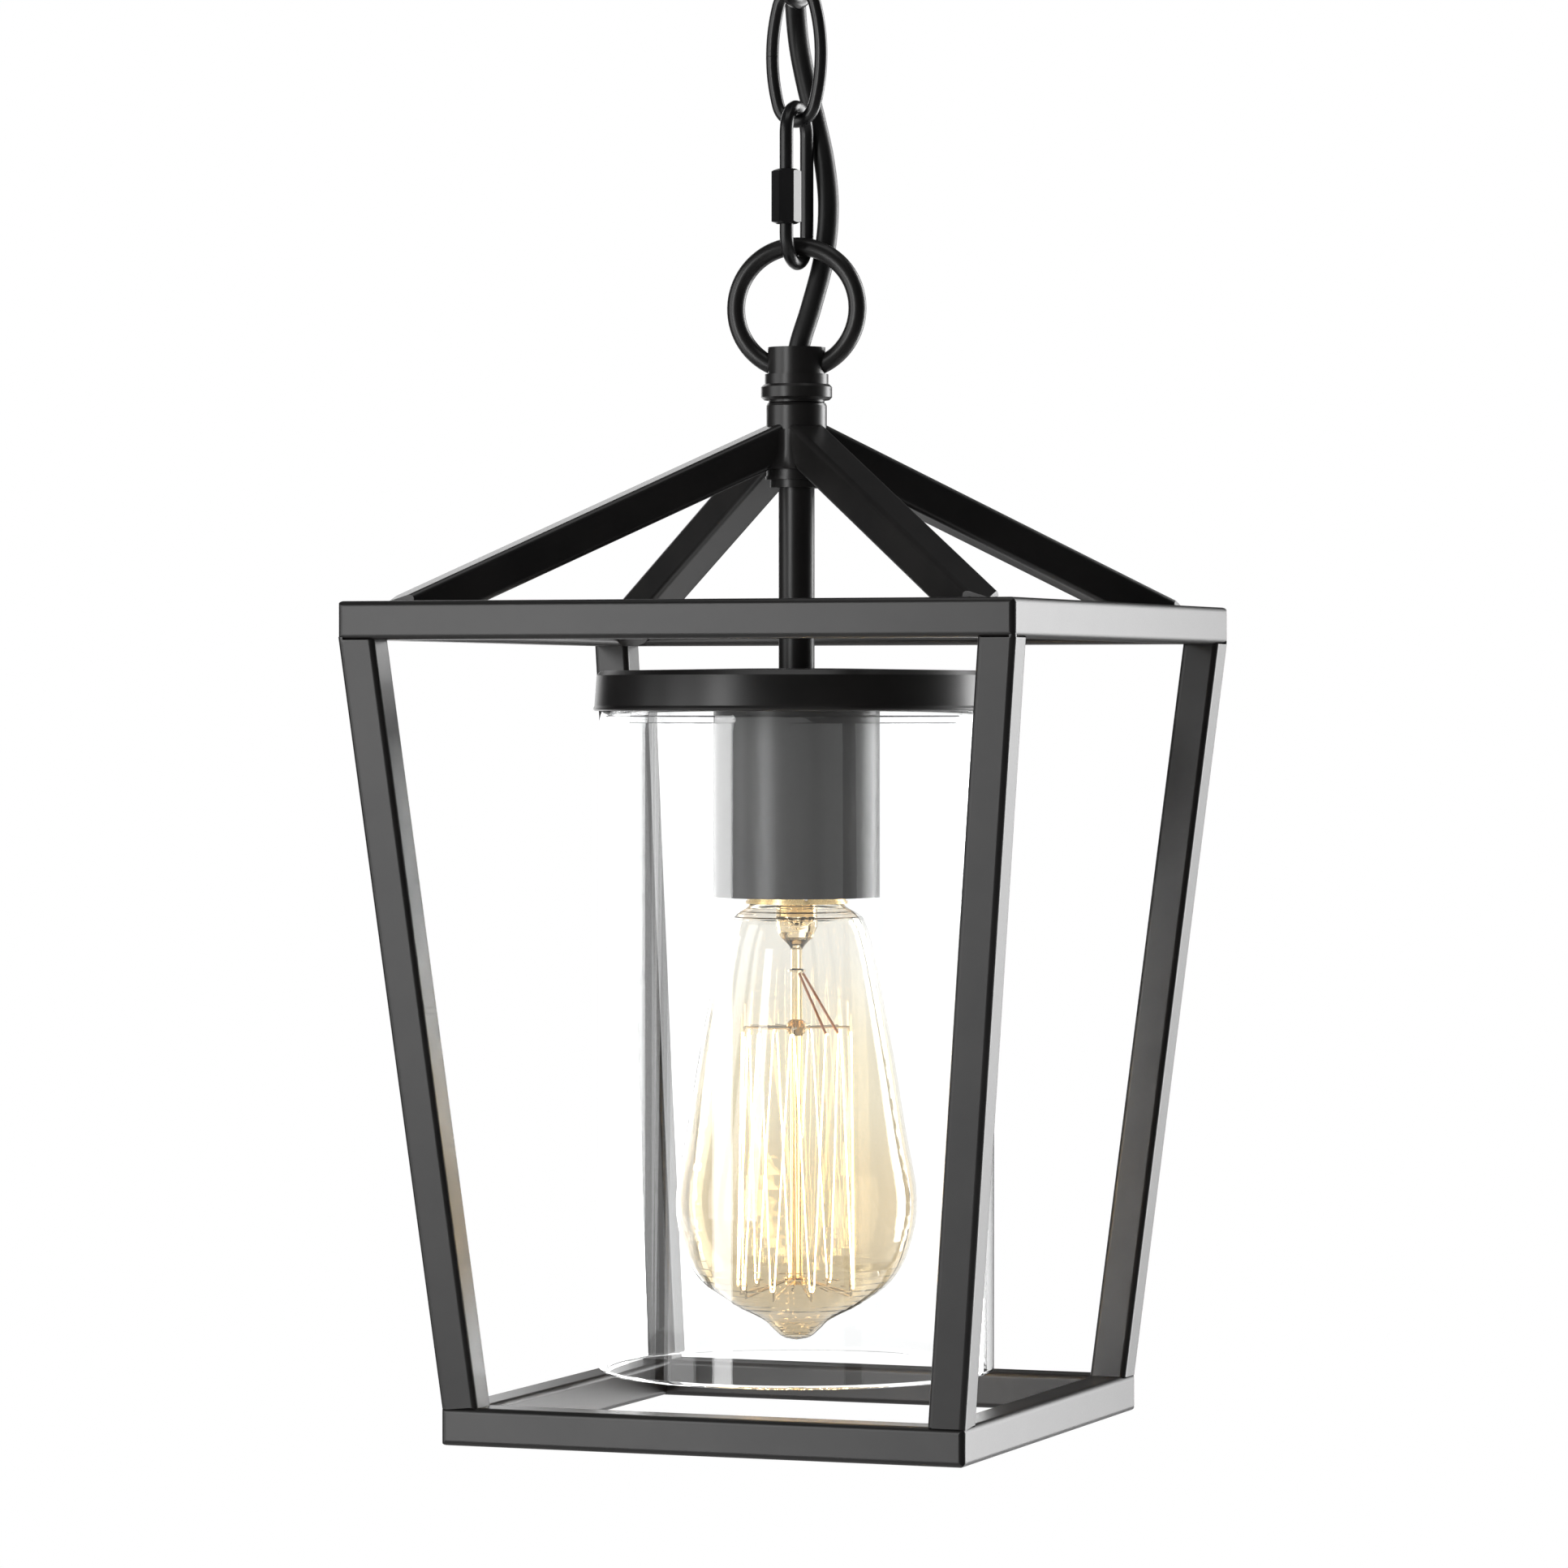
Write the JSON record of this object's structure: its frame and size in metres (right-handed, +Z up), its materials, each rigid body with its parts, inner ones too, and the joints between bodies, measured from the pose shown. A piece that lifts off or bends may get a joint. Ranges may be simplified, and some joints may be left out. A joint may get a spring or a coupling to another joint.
{
  "type": "hanging lantern",
  "caption": "Tapered open cage lantern of square tube with a clear glass bell and a filament bulb, hung by a quick link and oval-link chain from a round canopy.",
  "frame": {"origin": "centre of the canopy's mounting face, in the ceiling plane", "axes": "+Z up into the ceiling, +X to the right along the cage's front face, +Y from the cage's front to its back"},
  "size_m": [0.183, 0.183, 0.5078],
  "materials": {
    "black_coat": "satin powder coat",
    "black_wire": "satin paint on steel wire",
    "zinc_steel": "zinc plated",
    "brass": "plain",
    "green_metal": "green ground screw",
    "cable_jacket": "round black jacket",
    "lead_jacket": "thin white jacket",
    "black_rubber": "matte",
    "clear_glass": "clear, fire polished",
    "amber_glass": "clear with an amber tint",
    "bulb_inner_glass": "clear",
    "ivory_plastic": "moulded",
    "black_insulator": "moulded",
    "solder": "solder",
    "support_wire": "drawn wire",
    "lead_wire": "copper-clad wire",
    "filament_wire": "glowing wire"
  },
  "bodies": {
    "canopy": {"canopy_dome": "black_coat", "mounting_strap": "zinc_steel", "strap_nipple": "brass", "strap_lock_nut": "zinc_steel", "ground_screw": "green_metal", "canopy_loop": "black_coat", "power_cable": "cable_jacket"},
    "screw_collar": {"canopy_screw_collar": "black_coat"},
    "chain_link_1": {"chain_link_1": "black_wire"},
    "chain_link_2": {"chain_link_2": "black_wire"},
    "chain_link_3": {"chain_link_3": "black_wire"},
    "quick_link": {"quick_link": "black_wire"},
    "quick_link_nut": {"quick_link_nut": "black_wire"},
    "lantern": {"hanging_loop": "black_coat", "loop_washer": "black_coat", "roof_hub": "black_coat", "roof_bar_front_left": "black_coat", "roof_bar_front_right": "black_coat", "roof_bar_back_right": "black_coat", "roof_bar_back_left": "black_coat", "top_rail_front": "black_coat", "top_rail_right": "black_coat", "top_rail_back": "black_coat", "top_rail_left": "black_coat", "corner_post_front_left": "black_coat", "corner_post_front_right": "black_coat", "corner_post_back_right": "black_coat", "corner_post_back_left": "black_coat", "bottom_rail_front": "black_coat", "bottom_rail_right": "black_coat", "bottom_rail_back": "black_coat", "bottom_rail_left": "black_coat", "hub_washer": "black_coat", "stem_nut": "black_coat", "stem_tube": "black_coat", "shade_cap": "black_coat", "upper_gasket": "black_rubber", "glass_shade": "clear_glass", "lower_gasket": "black_rubber", "socket_cup": "black_coat", "cup_nut": "zinc_steel", "socket_body": "ivory_plastic", "screw_shell": "brass", "centre_contact": "brass", "terminal_screws": "brass", "socket_leads": "lead_jacket"},
    "bulb": {"bulb_glass": "amber_glass", "bulb_base_shell": "brass", "base_insulator": "black_insulator", "base_contact": "solder", "solder_spot": "solder", "stem_press": "bulb_inner_glass", "support_rod": "bulb_inner_glass", "filament_bead": "bulb_inner_glass", "filament_button": "bulb_inner_glass", "upper_hooks": "support_wire", "lower_hooks": "support_wire", "filament_leads": "lead_wire", "filament": "filament_wire"}
  },
  "joints": [
    {"name": "screw_collar_turn", "type": "hinge", "parent": "canopy", "child": "screw_collar", "pos_m": [0, 0, -0.028], "axis": [0, 0, 1], "continuous": true},
    {"name": "canopy_loop_swing", "type": "hinge", "parent": "canopy", "child": "chain_link_1", "pos_m": [0, 0, -0.0686], "axis": [0.2079, 0.9781, 0], "range_deg": [-25, 25], "deforming": ["power_cable"]},
    {"name": "link_1_swing", "type": "hinge", "parent": "chain_link_1", "child": "chain_link_2", "pos_m": [0, 0, -0.09935], "axis": [0.9781, -0.2079, 0], "range_deg": [-25, 25], "deforming": ["power_cable"]},
    {"name": "link_2_swing", "type": "hinge", "parent": "chain_link_2", "child": "chain_link_3", "pos_m": [0, 0, -0.1308], "axis": [0.2419, 0.9703, 0], "range_deg": [-25, 25], "deforming": ["power_cable"]},
    {"name": "link_3_swing", "type": "hinge", "parent": "chain_link_3", "child": "quick_link", "pos_m": [0, 0, -0.16225], "axis": [0.9703, -0.2419, 0], "range_deg": [-25, 25], "deforming": ["power_cable"]},
    {"name": "lantern_swing", "type": "hinge", "parent": "quick_link", "child": "lantern", "pos_m": [0, 0, -0.1997], "axis": [-0.0122, -0.9999, 0], "range_deg": [-25, 25], "deforming": ["power_cable"]},
    {"name": "quick_link_nut_travel", "type": "slide", "parent": "quick_link", "child": "quick_link_nut", "axis": [0, 0, 1], "range_m": [0, 0.008]},
    {"name": "bulb_out", "type": "slide", "parent": "lantern", "child": "bulb", "axis": [0, 0, -1], "range_m": [0, 0.17]}
  ]
}
